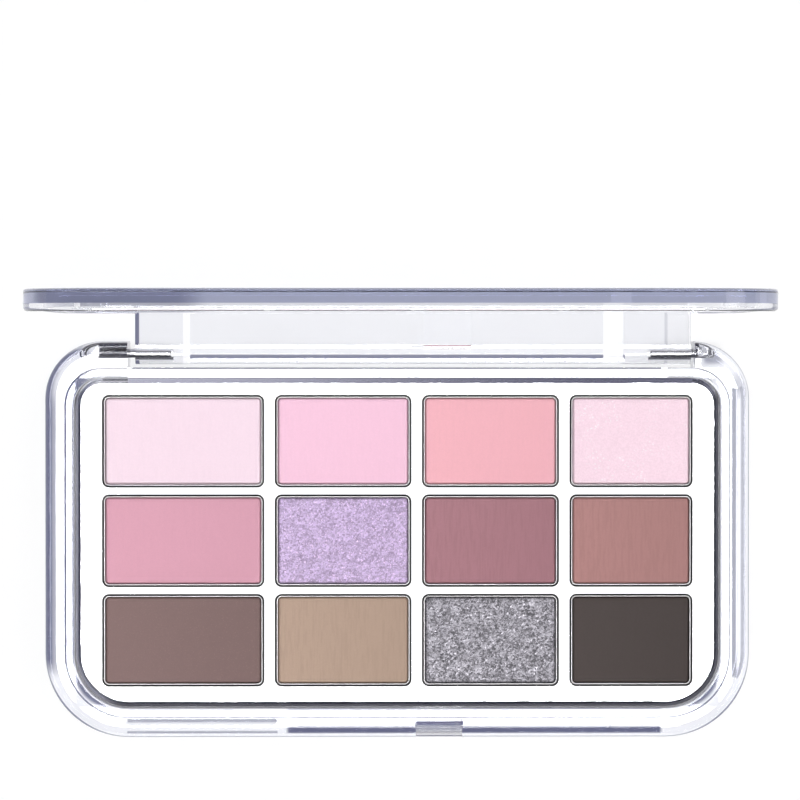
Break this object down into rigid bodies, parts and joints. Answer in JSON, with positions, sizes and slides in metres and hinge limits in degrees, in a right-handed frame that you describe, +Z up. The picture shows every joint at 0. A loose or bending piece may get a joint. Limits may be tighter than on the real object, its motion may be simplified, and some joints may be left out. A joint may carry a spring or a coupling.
{
  "type": "eyeshadow palette",
  "caption": "Rectangular eyeshadow palette: a thick clear case with a hinged clear lid over a bright silver tray of pressed powder pans in pinks, mauves, browns and glitter.",
  "frame": {"origin": "middle of the base's outline, on the underside that it rests on", "axes": "+X to the right along the long side, +Y to the hinge side, +Z up out of the powders"},
  "size_m": [0.1402, 0.0886, 0.0806],
  "materials": {
    "clear_plastic": "clear, thick-walled, polished",
    "tray_silver": "metallised to a bright mirror silver",
    "pan_metal": "bright, pressed",
    "pin_steel": "bright, knurled end",
    "glue": "soft, milky",
    "powder_pale_pink": "pressed powder, matte",
    "powder_light_pink": "pressed powder, matte",
    "powder_salmon_pink": "pressed powder, matte",
    "powder_pink_shimmer": "pressed powder, fine shimmer",
    "powder_rose": "pressed powder, matte",
    "powder_lilac_glitter": "pressed glitter",
    "powder_mauve": "pressed powder, matte",
    "powder_rosy_brown": "pressed powder, matte",
    "powder_taupe_brown": "pressed powder, matte",
    "powder_beige_tan": "pressed powder, matte",
    "powder_silver_glitter": "pressed glitter",
    "powder_dark_brown": "pressed powder, matte"
  },
  "bodies": {
    "base": {"base_shell": "clear_plastic", "tray": "tray_silver", "hinge_pin_left": "pin_steel", "hinge_pin_right": "pin_steel", "pan_glue_dots": "glue", "pan_pale_pink": "pan_metal", "powder_pale_pink": "powder_pale_pink", "pan_light_pink": "pan_metal", "powder_light_pink": "powder_light_pink", "pan_salmon_pink": "pan_metal", "powder_salmon_pink": "powder_salmon_pink", "pan_pink_shimmer": "pan_metal", "powder_pink_shimmer": "powder_pink_shimmer", "pan_rose": "pan_metal", "powder_rose": "powder_rose", "pan_lilac_glitter": "pan_metal", "powder_lilac_glitter": "powder_lilac_glitter", "pan_mauve": "pan_metal", "powder_mauve": "powder_mauve", "pan_rosy_brown": "pan_metal", "powder_rosy_brown": "powder_rosy_brown", "pan_taupe_brown": "pan_metal", "powder_taupe_brown": "powder_taupe_brown", "pan_beige_tan": "pan_metal", "powder_beige_tan": "powder_beige_tan", "pan_silver_glitter": "pan_metal", "powder_silver_glitter": "powder_silver_glitter", "pan_dark_brown": "pan_metal", "powder_dark_brown": "powder_dark_brown"},
    "lid": {"lid": "clear_plastic"}
  },
  "joints": [
    {"name": "lid_hinge", "type": "hinge", "parent": "base", "child": "lid", "pos_m": [0, 0.037, 0.0042], "axis": [-1, 0, 0], "range_deg": [-90, 5]}
  ]
}
